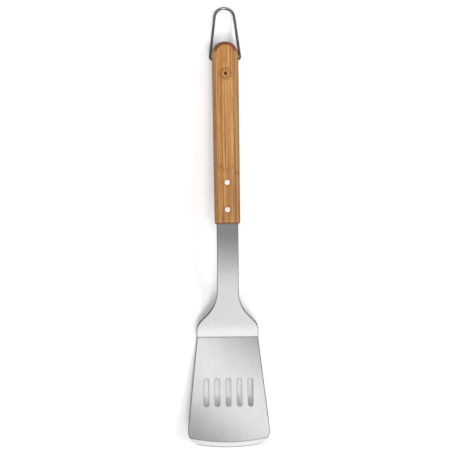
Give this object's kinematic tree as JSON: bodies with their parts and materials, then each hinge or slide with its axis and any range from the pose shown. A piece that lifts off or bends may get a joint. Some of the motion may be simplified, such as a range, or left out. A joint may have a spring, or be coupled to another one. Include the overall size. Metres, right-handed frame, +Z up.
{
  "type": "grill spatula",
  "caption": "Long-handled steel grill spatula with a slotted, bent blade, a laminated bamboo handle and a swinging wire hanging loop.",
  "frame": {"origin": "on the table, under the middle of the whole tool as it lies face up", "axes": "+X across the tool, +Y from the blade towards the butt and the hanging loop, +Z up from the table"},
  "size_m": [0.0852, 0.4574, 0.0375],
  "materials": {
    "steel_sheet": "fine brushed stainless steel",
    "steel_rivet": "smooth stainless steel",
    "steel_wire": "drawn and polished stainless wire",
    "bamboo_pale": "oiled laminated bamboo, paler strips",
    "bamboo_dark": "oiled laminated bamboo, darker strips"
  },
  "bodies": {
    "tool": {"blade": "steel_sheet", "handle_strip_1": "bamboo_dark", "handle_strip_2": "bamboo_pale", "handle_strip_3": "bamboo_dark", "handle_strip_4": "bamboo_pale", "handle_strip_5": "bamboo_dark", "rivet_pin_front": "steel_rivet", "rivet_pin_rear": "steel_rivet", "rivet_tube_front": "steel_rivet", "rivet_tube_rear": "steel_rivet"},
    "loop": {"hanging_loop": "steel_wire"}
  },
  "joints": [
    {"name": "loop_swing", "type": "hinge", "parent": "tool", "child": "loop", "pos_m": [0, 0.17381, 0.01058], "axis": [1, 0, 0], "range_deg": [-130, 135]}
  ]
}
